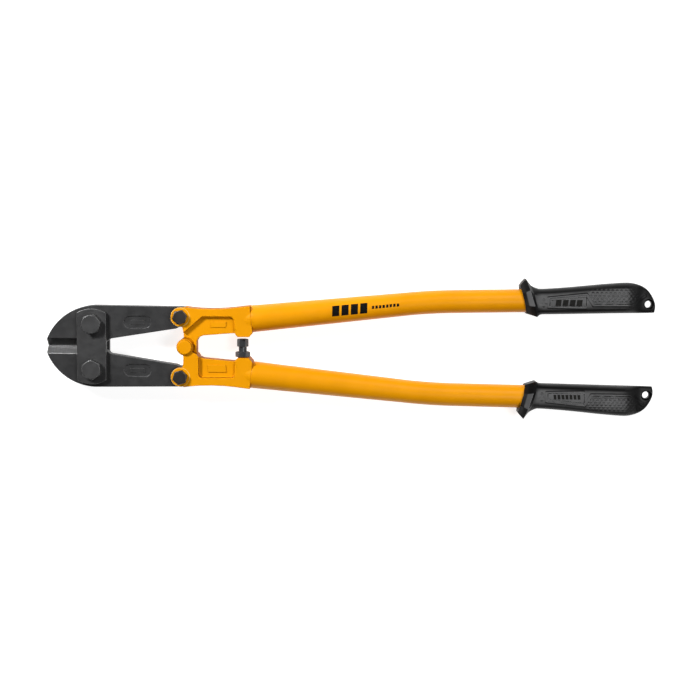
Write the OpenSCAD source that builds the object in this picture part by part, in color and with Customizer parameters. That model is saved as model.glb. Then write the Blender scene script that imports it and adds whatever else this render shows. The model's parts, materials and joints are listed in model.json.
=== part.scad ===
// Compound-leverage bolt cutters, closed and lying flat.
// Two jaws turn on bolts in a pair of side plates and are driven by two yokes
// that meet at a centre pivot; a steel tube and a moulded grip extend each yoke.
// Row frame: X along the tool with the jaws at -X, Y across it, Z up off the
// surface it lies on. The upper half of the tool is the +Y half.

/* [Overall] */
// Length from jaw tips to grip ends
overall_l = 603.5; // [600:0.5:640]
// Distance from jaw tips back to the centre pivot
tip_to_pivot = 137.5; // [136.5:0.5:139]

/* [Linkage] */
// Centre pivot back to the line of the plate bolts
plate_bolt_back = 91.5; // [91:0.5:92]
// Half the distance between the two plate bolts
plate_bolt_half = 22.5; // [22.2:0.1:22.8]
// Centre pivot back to the line of the link bolts
link_back = 4.4; // [4:0.2:5]
// Half the distance between the two link bolts
link_half = 29.8; // [29.4:0.2:30.2]
// Play that lets the upper link bolt travel in its jaw
link_slot = 4.1; // [4:0.1:4.4]

/* [Jaws] */
// Thickness of each jaw
jaw_t = 13; // [11:0.5:13]
// Radius of the rounded nose
nose_r = 53.5; // [53:0.5:54]
// Half height across the noses
jaw_half_h = 40.8; // [40.4:0.2:41.2]
// Width of the ground cutting bevel
bevel_w = 7.6; // [5:0.2:9]
// Length of the ground cutting bevel
bevel_l = 33; // [20:1:36]
// Radius of the tail eye round the link bolt
tail_r = 10.2; // [10:0.1:10.3]

/* [Side plates] */
// Thickness of each side plate
plate_t = 5; // [4:0.5:6]
// Width of each side plate
plate_w = 29.2; // [28:0.2:32]
// Half height of each side plate on its middle line
plate_half_h = 37.4; // [36:0.2:38]
// Half height of each side plate at its corners
plate_corner_h = 33.4; // [33:0.2:34]

/* [Yokes] */
// Thickness of each forged yoke
yoke_t = 24; // [23.5:0.5:24.5]
// Radius of the ears round the link bolts
ear_r = 9.6; // [9.4:0.1:10.2]
// Radius of the lugs round the centre pivot
lug_r = 8.3; // [8.1:0.1:9]
// Depth of the recessed panels
pocket_d = 4.5; // [1:0.1:4.8]

/* [Handles] */
// Tube diameter at the yoke
tube_d_yoke = 26.8; // [26:0.2:27]
// Tube diameter at the grip
tube_d_grip = 22.9; // [22:0.1:23.5]
// Tube wall thickness
tube_wall = 2.2; // [1.5:0.1:2.6]
// Splay of each tube from the middle line, degrees
tube_splay = 5.85; // [5.8:0.05:5.9]
// Bend in each tube, degrees
tube_bend = 4.75; // [4.7:0.05:4.8]
// Thickness of the grips
grip_t = 30; // [28:0.5:32]
// Thickness of the hand guards
guard_t = 34; // [33:0.5:36]
// Diameter of the hanging holes
hang_hole_d = 7; // [5:0.5:7.5]

/* [Fasteners] */
// Diameter of the plate bolts
plate_bolt_d = 12; // [12:0.5:12.5]
// Hexagon of the plate bolts and nuts across flats
plate_bolt_af = 18; // [17:0.5:19]
// Diameter of the link bolts
link_bolt_d = 8; // [7.5:0.1:8]
// Hexagon of the link bolts and nuts across flats
link_bolt_af = 13; // [12.5:0.5:14]
// Diameter of the centre pivot rivet
rivet_d = 9; // [8:0.5:9.5]
// Diameter of the stop screw
stop_screw_d = 8; // [7.5:0.1:8]

/* [Hidden] */
$fn = 72;
EPS = 0.01;
BIG = 200;

// Clearances
run_gap = 0.05;     // radial, between a bolt and what turns on it
side_gap = 0.1;     // between faces that slide past each other
blade_gap = 0.05;   // each cutting edge to the middle line
part_gap = 0.25;    // between the yokes along their parting line
tail_gap = 0.35;    // between a jaw's tail and the yoke round it, and round a bolt in its slot

// Heights of the stacks above and below the mid-plane
plate_z = jaw_t / 2 + side_gap;
plate_top = plate_z + plate_t;
yoke_z = yoke_t / 2;
plate_head_h = 7.5;
plate_nut_h = 6.5;
link_head_h = 5.3;
link_nut_h = 6;
bolt_proud = 0.6;
mid_z = plate_top + plate_nut_h + bolt_proud;

// Places in the pivot frame: centre pivot at 0,0 and mid-plane at height 0
pivot_x = -overall_l / 2 + tip_to_pivot;
plate_bolt_x = -plate_bolt_back;
link_x = -link_back;
end_x = overall_l - tip_to_pivot;

// Jaw outline
nose_x = plate_bolt_x + 3.9;
nose_y = jaw_half_h - nose_r;
nose_corner = 6;
notch_in = 0.4;
knuckle_r = plate_bolt_half - blade_gap;
knuckle_end_a = -42;
arm_end_x = link_x - 4.6;
arm_end_y = link_half - 11.8;
edge_flat = 0.4;
badge_x = -47.5;
badge_y = 24;
badge_l = 27;
badge_w = 12;
badge_d = 0.7;
badge_turn = 1;

// Side plate ends are arcs through the corners and the middle
plate_x = plate_bolt_x - 0.6;
plate_rise = plate_half_h - plate_corner_h;
plate_end_r = (pow(plate_w / 2, 2) + pow(plate_rise, 2)) / (2 * plate_rise);

// Yoke outline
tongue_z = 5.8;
fork_z = tongue_z + side_gap;
lug_gap = 0.3;
seat_gap = 1;
hook_a = 30;        // angle below the middle line that the upper yoke reaches round the pivot
hook_l = 16;
neck_x = -1.6;
window_x = 11.4;
seam_x = 65.7;
seam_y = 27.9;
boss_y = 10.4;
boss_x0 = 52.2;
boss_x1 = 63.6;
stop_x = 56.5;
stop_tip_y = -26;
stop_hole_l = 32;
stop_head_y = 0.1;
stop_head_h = 7.8;
stop_head_d = 11.6;
lock_nut_h = 5.4;
lock_nut_af = 13;
spigot_l = 32;
fit_gap = 0.12;

// Centre pivot rivet and its washer
rivet_head_r = 7.4;
rivet_head_h = 2.4;
rivet_edge_h = 0.8;
rivet_top_r = 6.3;
rivet_tail_h = 2.4;
rivet_tail_r0 = 4.2;
rivet_tail_r1 = 6.6;
washer_t = 1.6;
washer_r = 8.6;

// Handle tube path
bend_r = 550;
straight_l = 155.7;
bend_x = seam_x + straight_l * cos(tube_splay);
bend_y = seam_y + straight_l * sin(tube_splay);
rear_splay = tube_splay - tube_bend;
bend_cx = bend_x + bend_r * sin(tube_splay);
bend_cy = bend_y - bend_r * cos(tube_splay);
rear_x = bend_cx - bend_r * sin(rear_splay);
rear_y = bend_cy + bend_r * cos(rear_splay);
tube_end_x = end_x - 24;
rear_l = (tube_end_x - rear_x) / cos(rear_splay);
tube_r0 = tube_d_yoke / 2;
tube_r1 = tube_d_grip / 2;
tube_sides = 36;
bend_steps = 4;

// Grip
grip_x0 = end_x - 135.4;
hang_x = end_x - 7.2;
hang_ring_d = 10.4;
hang_ring_z = 3.5;
tab_z = 5.2;
tab_l = 11.6;
tab_slope_l = 20;
crimp_r = tube_r1 - 1.2;
crimp_x = grip_x0 + 9;
crimp_l = 3;
crimp_at = (crimp_x - rear_x) / cos(rear_splay);
hang_y = 45.3;
belly_y = 34;
guard_tip_y = 70;

// Points along an arc
function arc(cx, cy, r, a0, a1, n) =
    [for (i = [0:n]) [cx + r * cos(a0 + (a1 - a0) * i / n), cy + r * sin(a0 + (a1 - a0) * i / n)]];

// Moves a piece from the pivot frame to the row frame
module placed() {
    translate([pivot_x, 0, mid_z]) children();
}

// Turns an upper piece into its lower twin
module lower() {
    mirror([0, 1, 0]) children();
}

// A flat shape made into a slab between two heights
module slab(z0, z1) {
    translate([0, 0, z0]) linear_extrude(z1 - z0) children();
}

// A hexagon prism with both corners of its outer face turned off
module hex_prism(af, h, turn) {
    ac = af / cos(30);
    intersection() {
        rotate([0, 0, turn]) cylinder(h = h, d = ac, $fn = 6);
        cylinder(h = h, r1 = ac / 2 + h * 1.7 - 0.9, r2 = af / 2 - 0.3);
    }
}

// A hexagon bolt with its head on top at z1 and its end at z0
module hex_bolt(d, af, head_h, z0, z1, turn) {
    translate([0, 0, z1]) hex_prism(af, head_h, turn);
    translate([0, 0, z0 + 1]) cylinder(h = z1 - z0 - 1 + EPS, d = d);
    translate([0, 0, z0]) cylinder(h = 1, d1 = d - 1.6, d2 = d);
}

// A hexagon nut hanging below z1
module hex_nut(d, af, h, z1, turn) {
    difference() {
        translate([0, 0, z1]) mirror([0, 0, 1]) hex_prism(af, h, turn);
        translate([0, 0, z1 - h - 1]) cylinder(h = h + 2, d = d + 2 * run_gap);
    }
}

// ---- Jaws ----

// Side view of the upper jaw: a round nose, a straight back and a rolling knuckle
module jaw_outline() {
    intersection() {
        polygon(concat(
            [[-tip_to_pivot + notch_in, blade_gap], [plate_bolt_x, blade_gap]],
            arc(plate_bolt_x, plate_bolt_half, knuckle_r, -84, knuckle_end_a, 7),
            [[arm_end_x, arm_end_y], [link_x, link_half - tail_r + 0.8], [link_x, link_half + tail_r - 0.2],
            [nose_x, jaw_half_h - 0.1], [-tip_to_pivot - 8, jaw_half_h - 0.1],
            [-tip_to_pivot - notch_in, 2 * nose_corner]]));
        union() {
            translate([nose_x, nose_y]) circle(nose_r, $fn = 180);
            translate([nose_x + 2, -1]) square([BIG, BIG]);
        }
    }
    translate([link_x, link_half]) circle(tail_r);
}

// Ground faces that bring the jaw down to its cutting edge
module bevel_cut() {
    for (s = [-1, 1])
        translate([-tip_to_pivot - 1, 0, 0]) rotate([90, 0, 90])
            linear_extrude(bevel_l + 1)
                polygon([[0, s * edge_flat], [bevel_w + 1, s * (jaw_t / 2 + 0.8)],
                    [bevel_w + 1, s * jaw_t], [-1, s * jaw_t], [-1, s * edge_flat]]);
}

// Blank badge recess with round ends
module badge_outline() {
    polygon(concat(arc((badge_l - badge_w) / 2, 0, badge_w / 2, -90, 90, 14),
        arc(-(badge_l - badge_w) / 2, 0, badge_w / 2, 90, 270, 14)));
}

// Upper-half jaw blank, before its tail is bored
module jaw_blank() {
    difference() {
        slab(-jaw_t / 2, jaw_t / 2) jaw_outline();
        bevel_cut();
        for (s = [0, 1]) mirror([0, 0, s])
            translate([badge_x, badge_y, jaw_t / 2 - badge_d]) rotate([0, 0, badge_turn])
                linear_extrude(badge_d + 1) badge_outline();
        translate([plate_bolt_x, plate_bolt_half, -BIG / 2])
            cylinder(h = BIG, r = plate_bolt_d / 2 + run_gap);
    }
}

module upper_jaw() {
    color([0.2, 0.21, 0.22]) placed() difference() {
        jaw_blank();
        // Slot in which the upper link bolt is free to travel
        for (y = [0, link_slot]) translate([link_x, link_half + y, -BIG / 2])
            cylinder(h = BIG, r = link_bolt_d / 2 + tail_gap);
        translate([link_x - link_bolt_d / 2 - tail_gap, link_half, -BIG / 2])
            cube([link_bolt_d + 2 * tail_gap, link_slot, BIG]);
    }
}

module lower_jaw() {
    color([0.2, 0.21, 0.22]) placed() lower() difference() {
        jaw_blank();
        translate([link_x, link_half, -BIG / 2]) cylinder(h = BIG, r = link_bolt_d / 2 + run_gap);
    }
}

// ---- Side plates and their bolts ----

module plate_outline() {
    square([plate_w, 2 * plate_corner_h], center = true);
    intersection() {
        square([plate_w, 2 * plate_half_h], center = true);
        union() for (s = [-1, 1]) intersection() {
            translate([0, s * (plate_half_h - plate_end_r)]) circle(plate_end_r, $fn = 180);
            translate([0, s * plate_half_h / 2]) square([plate_w, plate_half_h], center = true);
        }
    }
}

module side_plate(z0) {
    placed() difference() {
        translate([plate_x, 0, 0]) slab(z0, z0 + plate_t) plate_outline();
        for (s = [-1, 1]) translate([plate_bolt_x, s * plate_bolt_half, -BIG / 2])
            cylinder(h = BIG, r = plate_bolt_d / 2 + run_gap);
    }
}

module front_side_plate() {
    color([0.22, 0.23, 0.24]) side_plate(plate_z);
}

module back_side_plate() {
    color([0.22, 0.23, 0.24]) side_plate(-plate_top);
}

module plate_bolt(turn) {
    translate([plate_bolt_x, plate_bolt_half, 0])
        hex_bolt(plate_bolt_d, plate_bolt_af, plate_head_h, -mid_z, plate_top, turn);
}

module upper_plate_bolt() {
    color([0.25, 0.26, 0.27]) placed() plate_bolt(12);
}

module lower_plate_bolt() {
    color([0.25, 0.26, 0.27]) placed() lower() plate_bolt(-35);
}

module plate_nut(turn) {
    translate([plate_bolt_x, plate_bolt_half, 0])
        hex_nut(plate_bolt_d, plate_bolt_af, plate_nut_h, -plate_top, turn);
}

module upper_plate_nut() {
    color([0.25, 0.26, 0.27]) placed() plate_nut(8);
}

module lower_plate_nut() {
    color([0.25, 0.26, 0.27]) placed() lower() plate_nut(25);
}

// ---- Yokes ----

// Side view of the upper yoke without its ear and lug
module yoke_outline() {
    polygon([[neck_x, part_gap], [neck_x, 16], [link_x, link_half], [link_x + 3, link_half + 10],
        [6, 38.9], [14, 38.2], [26, 37.9], [38, 38.3], [48, 39.2], [57, 40.3],
        [seam_x - tube_r0 * sin(tube_splay), seam_y + tube_r0 * cos(tube_splay)],
        [seam_x + tube_r0 * sin(tube_splay), seam_y - tube_r0 * cos(tube_splay)],
        [boss_x1, boss_y], [boss_x0, boss_y], [boss_x0 - 3.2, boss_y + 3.4], [boss_x0 - 6, boss_y + 3.4],
        [window_x + 6.5, boss_y + 1], [window_x + 2.2, boss_y - 0.9], [window_x, boss_y - 4.6],
        [window_x, part_gap]]);
    translate([link_x, link_half]) circle(ear_r);
}

// Room between the ears for the jaw tail to swing, and to ride along its slot
module tail_room(travel) {
    slab(-plate_z, plate_z) {
        translate([link_x, link_half]) circle(tail_r + tail_gap);
        translate([link_x - 0.2 * travel, link_half - travel]) circle(tail_r + tail_gap + 0.1 * travel);
        translate([link_x, link_half]) polygon(concat(
            arc(0, 0, tail_r + tail_gap, -90, 30, 8),
            [[(tail_r + tail_gap) * cos(30) - 60 * sin(30), (tail_r + tail_gap) * sin(30) + 60 * cos(30)],
            [-60, 60], [-60, -20], [-7, -20]]));
    }
}

// Round end of the yoke that swells to meet the tube
module yoke_shank() {
    translate([seam_x, seam_y, 0]) rotate([0, 0, tube_splay]) rotate([0, 90, 0]) {
        translate([0, 0, -13]) cylinder(h = 13, r1 = yoke_z - 1.2, r2 = tube_r0);
        translate([0, 0, -1])
            cylinder(h = spigot_l + 1, r1 = tube_r0 - tube_wall - fit_gap,
                r2 = tube_r0 - tube_wall - fit_gap - (tube_r0 - tube_r1) * (spigot_l + 1) / straight_l);
    }
}

// Bore for a link bolt through both ears
module link_bore() {
    translate([link_x, link_half, -BIG / 2]) cylinder(h = BIG, r = link_bolt_d / 2 + run_gap);
}

// Recess cut into both faces of a yoke
module pocket_cut() {
    for (s = [0, 1]) mirror([0, 0, s])
        translate([0, 0, yoke_z - pocket_d]) linear_extrude(pocket_d + 2) children();
}

// Panel of the upper yoke: open to the window and to the centre pivot
module upper_panel() {
    polygon([[neck_x - 1, 12.8], [1, 16.2], [17.1, 30.4], [45.5, 30.6], [49, 27.2], [50, boss_y + 1],
        [window_x + 9, boss_y - 4.6], [window_x + 9, -14], [-9, -14]]);
}

// Panel of the lower yoke: open to the window only
module lower_panel() {
    polygon(concat(arc(16.8, 27, 3.2, 90, 180, 5), [[13.6, 9]], [[50, 9]], arc(46.4, 26.9, 3.2, 0, 90, 5)));
}

// Part of the lower half that the upper yoke takes, in the lower yoke's own mirrored view
module hook_outline(gap) {
    intersection() {
        yoke_outline();
        polygon([[0, -1], [0, gap], [hook_l, hook_l * tan(hook_a) + gap], [hook_l, -1]]);
    }
}

module upper_yoke() {
    color([0.94, 0.63, 0.05]) placed() difference() {
        union() {
            difference() {
                slab(-yoke_z, yoke_z) {
                    yoke_outline();
                    lower() hook_outline(0);
                    // Bridge across the middle line
                    translate([lug_r - 1, -part_gap - EPS])
                        square([window_x - lug_r + 1, 2 * (part_gap + EPS)]);
                }
                pocket_cut() upper_panel();
                // Clearance for the lugs of the lower yoke
                for (s = [0, 1]) mirror([0, 0, s]) translate([0, 0, tongue_z])
                    cylinder(h = BIG, r = lug_r + seat_gap);
            }
            yoke_shank();
            translate([0, 0, -tongue_z]) cylinder(h = 2 * tongue_z, r = lug_r);
        }
        tail_room(link_slot);
        link_bore();
        translate([0, 0, -BIG / 2]) cylinder(h = BIG, r = rivet_d / 2 + run_gap);
    }
}

module lower_yoke() {
    color([0.94, 0.63, 0.05]) placed() lower() difference() {
        union() {
            slab(-yoke_z, yoke_z) difference() {
                yoke_outline();
                circle(r = lug_r - 0.5);
                hook_outline(part_gap);
            }
            yoke_shank();
            for (s = [0, 1]) mirror([0, 0, s]) translate([0, 0, fork_z])
                cylinder(h = yoke_z - fork_z, r = lug_r);
        }
        pocket_cut() lower_panel();
        // Clearance for the tongue of the upper yoke
        translate([0, 0, -fork_z]) cylinder(h = 2 * fork_z, r = lug_r + lug_gap);
        tail_room(0);
        link_bore();
        translate([0, 0, -BIG / 2]) cylinder(h = BIG, r = rivet_d / 2 + run_gap);
        // Tapped hole for the stop screw
        translate([stop_x, 0, 0]) rotate([-90, 0, 0])
            cylinder(h = stop_hole_l, r = stop_screw_d / 2 + run_gap);
    }
}

// ---- Pins of the yokes ----

module centre_pivot_rivet() {
    color([0.9, 0.6, 0.05]) placed() {
        translate([0, 0, yoke_z]) cylinder(h = rivet_head_h, r = rivet_head_r);
        translate([0, 0, yoke_z + rivet_head_h])
            cylinder(h = rivet_edge_h, r1 = rivet_head_r, r2 = rivet_top_r);
        translate([0, 0, -yoke_z - washer_t]) cylinder(h = 2 * yoke_z + washer_t + EPS, d = rivet_d);
        translate([0, 0, -yoke_z - washer_t - rivet_tail_h])
            cylinder(h = rivet_tail_h, r1 = rivet_tail_r0, r2 = rivet_tail_r1);
    }
}

module centre_pivot_washer() {
    color([0.9, 0.6, 0.05]) placed() difference() {
        translate([0, 0, -yoke_z - washer_t]) cylinder(h = washer_t, r = washer_r);
        translate([0, 0, -yoke_z - washer_t - 1]) cylinder(h = washer_t + 2, r = rivet_d / 2 + run_gap);
    }
}

module link_bolt(turn) {
    translate([link_x, link_half, 0])
        hex_bolt(link_bolt_d, link_bolt_af, link_head_h, -yoke_z - link_nut_h - bolt_proud, yoke_z, turn);
}

module upper_link_bolt() {
    color([0.2, 0.2, 0.2]) placed() link_bolt(12);
}

module lower_link_bolt() {
    color([0.2, 0.2, 0.2]) placed() lower() link_bolt(-15);
}

module link_nut(turn) {
    translate([link_x, link_half, 0]) hex_nut(link_bolt_d, link_bolt_af, link_nut_h, -yoke_z, turn);
}

module upper_link_nut() {
    color([0.2, 0.2, 0.2]) placed() link_nut(20);
}

module lower_link_nut() {
    color([0.2, 0.2, 0.2]) placed() lower() link_nut(5);
}

// ---- Stop screw ----

module stop_screw() {
    color([0.3, 0.33, 0.36]) placed() translate([stop_x, 0, 0]) rotate([-90, 0, 0]) {
        translate([0, 0, stop_head_y]) hex_prism(stop_head_d * cos(30), stop_head_h, 0);
        translate([0, 0, stop_tip_y + 1]) cylinder(h = stop_head_y - stop_tip_y - 1 + EPS, d = stop_screw_d);
        translate([0, 0, stop_tip_y]) cylinder(h = 1, d1 = stop_screw_d - 1.6, d2 = stop_screw_d);
    }
}

module lock_nut() {
    color([0.3, 0.33, 0.36]) placed() translate([stop_x, -boss_y + part_gap, 0]) rotate([-90, 0, 0])
        difference() {
            hex_prism(lock_nut_af, lock_nut_h, 0);
            translate([0, 0, -1]) cylinder(h = lock_nut_h + 2, r = stop_screw_d / 2 + run_gap);
        }
}

// ---- Handles ----

// Points of the circle of radius r across the tube's path at a station
function ring(at, r) = [for (k = [0:tube_sides - 1]) let (a = 360 * k / tube_sides)
    [at[0] - r * cos(a) * sin(at[2]), at[1] + r * cos(a) * cos(at[2]), r * sin(a)]];

// Quads that join ring i to ring j, facing out unless flipped
function band(i, j, flip) = [for (k = [0:tube_sides - 1]) let (m = (k + 1) % tube_sides,
    quad = [i * tube_sides + k, i * tube_sides + m, j * tube_sides + m, j * tube_sides + k])
    flip ? [quad[3], quad[2], quad[1], quad[0]] : quad];

// A tapered hollow tube, bent part of the way along
module handle_tube() {
    stations = concat([[seam_x, seam_y, tube_splay, tube_r0]],
        [for (i = [0:bend_steps]) let (a = tube_splay - tube_bend * i / bend_steps)
            [bend_cx - bend_r * sin(a), bend_cy + bend_r * cos(a), a, tube_r1]],
        [for (c = [[crimp_at, tube_r1], [crimp_at + crimp_l, crimp_r], [rear_l, crimp_r]])
            [rear_x + c[0] * cos(rear_splay), rear_y + c[0] * sin(rear_splay), rear_splay, c[1]]]);
    n = len(stations);
    outer = [for (s = stations) each ring(s, s[3])];
    inner = [for (s = stations) each ring(s, s[3] - tube_wall)];
    polyhedron(concat(outer, inner), concat(
        [for (i = [0:n - 2]) each band(i, i + 1, false)],
        [for (i = [0:n - 2]) each band(n + i, n + i + 1, true)],
        band(0, n, true), band(n - 1, 2 * n - 1, false)), convexity = 6);
}

module upper_handle_tube() {
    color([0.94, 0.63, 0.05]) placed() handle_tube();
}

module lower_handle_tube() {
    color([0.94, 0.63, 0.05]) placed() lower() handle_tube();
}

// Side view of the grip behind its guard
module grip_outline() {
    polygon(concat(
        [[grip_x0 + 7, belly_y - 0.2], [grip_x0 + 17.8, belly_y - 2], [grip_x0 + 23, belly_y + 0.5],
        [end_x - 4, belly_y + 2.5], [end_x - 1.2, belly_y + 4], [end_x, belly_y + 6.4]],
        arc(end_x - 22, 45.2, 22, 0, 75, 12),
        [[end_x - 34, 66.6], [end_x - 55, 65], [end_x - 75, 62.9], [end_x - 95, 60.6],
        [end_x - 110, 59.2], [grip_x0 + 17, 59.4], [grip_x0 + 7, 62]]));
}

// Side view of the flared guard
module guard_outline() {
    polygon([[grip_x0, 62.9], [grip_x0 + 5.6, guard_tip_y], [grip_x0 + 9, 65.4], [grip_x0 + 14, 61.3],
        [grip_x0 + 18, 59], [grip_x0 + 18, belly_y - 2], [grip_x0 + 7, belly_y + 1.4]]);
}

// Edge view of the grip: full thickness, then a slope down to the tab with the hanging hole
module grip_profile() {
    slope = [for (i = [0:8]) [end_x - tab_l - tab_slope_l * i / 8,
        tab_z + (grip_t / 2 - tab_z) * (1 - cos(180 * i / 8)) / 2]];
    upper = concat([[end_x + 1, tab_z]], slope, [[grip_x0 - 1, grip_t / 2]]);
    lower_edge = [for (i = [len(upper) - 1:-1:0]) [upper[i][0], -upper[i][1]]];
    polygon(concat(upper, lower_edge));
}

module grip() {
    difference() {
        union() {
            intersection() {
                slab(-grip_t / 2, grip_t / 2) grip_outline();
                translate([0, BIG / 2, 0]) rotate([90, 0, 0]) linear_extrude(BIG) grip_profile();
                translate([grip_x0, 50, 0]) rotate([90, 0, 90]) linear_extrude(140) {
                    square([20, grip_t], center = true);
                    square([40, grip_t - 18], center = true);
                    for (a = [-1, 1], b = [-1, 1]) translate([a * 10, b * (grip_t / 2 - 9)]) circle(9);
                }
            }
            slab(-guard_t / 2, guard_t / 2) guard_outline();
        }
        translate([rear_x, rear_y, 0]) rotate([0, 0, rear_splay]) rotate([0, 90, 0]) {
            cylinder(h = crimp_at + run_gap, r = tube_r1 + run_gap);
            translate([0, 0, crimp_at + run_gap - EPS])
                cylinder(h = crimp_l + EPS, r1 = tube_r1 + run_gap, r2 = crimp_r + run_gap);
            cylinder(h = rear_l + 0.4, r = crimp_r + run_gap);
        }
        translate([hang_x, hang_y, -BIG / 2]) cylinder(h = BIG, d = hang_hole_d);
        for (s = [0, 1]) mirror([0, 0, s]) translate([hang_x, hang_y, hang_ring_z])
            cylinder(h = BIG, d = hang_ring_d);
    }
}

module upper_grip() {
    color([0.1, 0.1, 0.11]) placed() grip();
}

module lower_grip() {
    color([0.1, 0.1, 0.11]) placed() lower() grip();
}

upper_jaw();
lower_jaw();
front_side_plate();
back_side_plate();
upper_plate_bolt();
lower_plate_bolt();
upper_plate_nut();
lower_plate_nut();
upper_yoke();
lower_yoke();
centre_pivot_rivet();
centre_pivot_washer();
upper_link_bolt();
lower_link_bolt();
upper_link_nut();
lower_link_nut();
stop_screw();
lock_nut();
upper_handle_tube();
lower_handle_tube();
upper_grip();
lower_grip();
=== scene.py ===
import json
import math

import bmesh
import bpy
import numpy as np
from mathutils import Matrix, Vector


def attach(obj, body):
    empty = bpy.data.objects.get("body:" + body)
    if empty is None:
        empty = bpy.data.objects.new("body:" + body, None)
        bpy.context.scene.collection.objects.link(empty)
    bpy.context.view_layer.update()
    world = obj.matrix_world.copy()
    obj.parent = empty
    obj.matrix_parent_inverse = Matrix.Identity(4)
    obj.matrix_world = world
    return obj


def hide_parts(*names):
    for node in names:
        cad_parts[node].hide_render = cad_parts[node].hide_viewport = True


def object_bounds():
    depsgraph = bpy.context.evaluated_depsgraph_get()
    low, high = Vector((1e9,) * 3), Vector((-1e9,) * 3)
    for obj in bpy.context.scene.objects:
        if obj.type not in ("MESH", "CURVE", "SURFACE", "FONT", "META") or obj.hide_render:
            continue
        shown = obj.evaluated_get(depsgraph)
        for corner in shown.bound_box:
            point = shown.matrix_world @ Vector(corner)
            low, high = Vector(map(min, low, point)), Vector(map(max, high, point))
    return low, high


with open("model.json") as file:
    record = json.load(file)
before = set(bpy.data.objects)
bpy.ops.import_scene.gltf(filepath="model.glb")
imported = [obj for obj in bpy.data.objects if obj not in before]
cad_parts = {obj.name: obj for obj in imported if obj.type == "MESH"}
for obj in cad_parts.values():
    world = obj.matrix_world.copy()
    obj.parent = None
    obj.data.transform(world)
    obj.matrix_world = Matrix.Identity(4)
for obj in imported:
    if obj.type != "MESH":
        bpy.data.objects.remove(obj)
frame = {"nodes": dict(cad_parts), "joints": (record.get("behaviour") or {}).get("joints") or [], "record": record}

# Bolt cutters, closed and lying flat. Lengths are millimetres in the pivot frame,
# with the centre pivot at 0,0 and height 0 at the tool's mid-plane. Lamps, camera,
# materials and anything multiplied by MM are in metres.
CAD_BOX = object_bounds()
MM = 0.001
JOINTS = {j["name"]: j for j in frame["joints"]}
MOUNTS = {m["name"]: m for m in frame["record"]["mounts"]}
PIVOT = Vector(JOINTS["handle_pivot"]["pos_m"])
END_X = (CAD_BOX[1].x - PIVOT.x) / MM
HOLE_X = (MOUNTS["upper_hanging_hole"]["pos_m"][0] - PIVOT.x) / MM
HOLE_Y = (MOUNTS["upper_hanging_hole"]["pos_m"][1] - PIVOT.y) / MM
HOLE_R = MOUNTS["upper_hanging_hole"]["dims"]["r_mm"]
LOWER_LINK = Vector(JOINTS["lower_jaw_link"]["pos_m"])
UPPER_LINK = Vector((LOWER_LINK.x, 2 * PIVOT.y - LOWER_LINK.y, LOWER_LINK.z))
PALE = (1, 1, 1, 1)


def place(x, y, z):
    """A point given in pivot-frame millimetres, in the row frame in metres."""
    return PIVOT + Vector((x, y, z)) * MM


# ---------------------------------------------------------------- camera, light

CAMERA_DISTANCE = 1.3
CAMERA_TILT = math.radians(5.3)
CAMERA_ROLL = math.radians(0.42)
CAMERA_AIM = PIVOT + Vector((0.1634, -0.0026, 0.0))
VIEW_WIDTH = 0.698
SENSOR = 36.0
CLIP = (0.05, 20.0)


def make_camera():
    """Looks straight down on the tool from slightly beyond its upper handle."""
    data = bpy.data.cameras.new("camera")
    data.sensor_width = SENSOR
    data.lens = SENSOR * CAMERA_DISTANCE / VIEW_WIDTH
    data.clip_start, data.clip_end = CLIP
    cam = bpy.data.objects.new("camera", data)
    bpy.context.scene.collection.objects.link(cam)
    back = Vector((0, math.sin(CAMERA_TILT), math.cos(CAMERA_TILT)))
    up = Vector((0, math.cos(CAMERA_TILT), -math.sin(CAMERA_TILT)))
    right = Vector((1, 0, 0))
    c, s = math.cos(CAMERA_ROLL), math.sin(CAMERA_ROLL)
    axes = Matrix((right * c + up * s, up * c - right * s, back)).transposed()
    spot = CAMERA_AIM + back * CAMERA_DISTANCE
    cam.matrix_world = Matrix.Translation(spot) @ axes.to_4x4()
    bpy.context.scene.camera = cam


# Name, place, aim, size and power of each lamp
LAMPS = (("key", (-0.80, 0.62, 0.82), (-0.06, 0, 0), (0.26, 0.26), 15.5),
         ("fill", (0.45, 0.80, 0.85), (0.1, 0, 0), (0.5, 0.5), 4.5),
         ("blade", (-0.30, 0.55, 0.16), (-0.29, 0, 0.02), (0.45, 0.12), 0.10),
         ("sheen", (0.64, -0.12, 1.35), (0.24, 0, 0), (0.30, 0.42), 7))
SKY_FRONT, SKY_BACK = 0.006, 0.018
FLOOR_SIZE = 16
FLOOR_GAP = 0.0004
FLOOR_GREY = 0.52
FLOOR_GLOW = 0.84


def area_light(name, spot, aim, size, power):
    data = bpy.data.lights.new(name, "AREA")
    data.shape = "RECTANGLE"
    data.size, data.size_y = size
    data.energy = power
    lamp = bpy.data.objects.new(name, data)
    bpy.context.scene.collection.objects.link(lamp)
    lamp.location = spot
    lamp.rotation_euler = (Vector(aim) - Vector(spot)).to_track_quat("-Z", "Y").to_euler()


def make_lights():
    """A key from the left, a fill from the right, two small accents, and the sky."""
    for lamp in LAMPS:
        area_light(*lamp)
    make_sky()
    bpy.context.scene.view_settings.view_transform = "Standard"


def make_sky():
    """A dim sky, brighter beyond the upper handle, that looks pale to the camera."""
    world = bpy.data.worlds.new("studio")
    world.use_nodes = True
    nodes, links = world.node_tree.nodes, world.node_tree.links
    sky = nodes["Background"]
    coords = nodes.new("ShaderNodeTexCoord")
    split = nodes.new("ShaderNodeSeparateXYZ")
    links.new(coords.outputs["Generated"], split.inputs["Vector"])
    level = remap(nodes, links, split.outputs["Y"], SKY_FRONT, SKY_BACK, -0.7, 1.0)
    path = nodes.new("ShaderNodeLightPath")
    seen = math_node(nodes, links, "MAXIMUM", path.outputs["Is Camera Ray"], level)
    sky.inputs["Color"].default_value = PALE
    links.new(seen, sky.inputs["Strength"])
    bpy.context.scene.world = world


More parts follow.
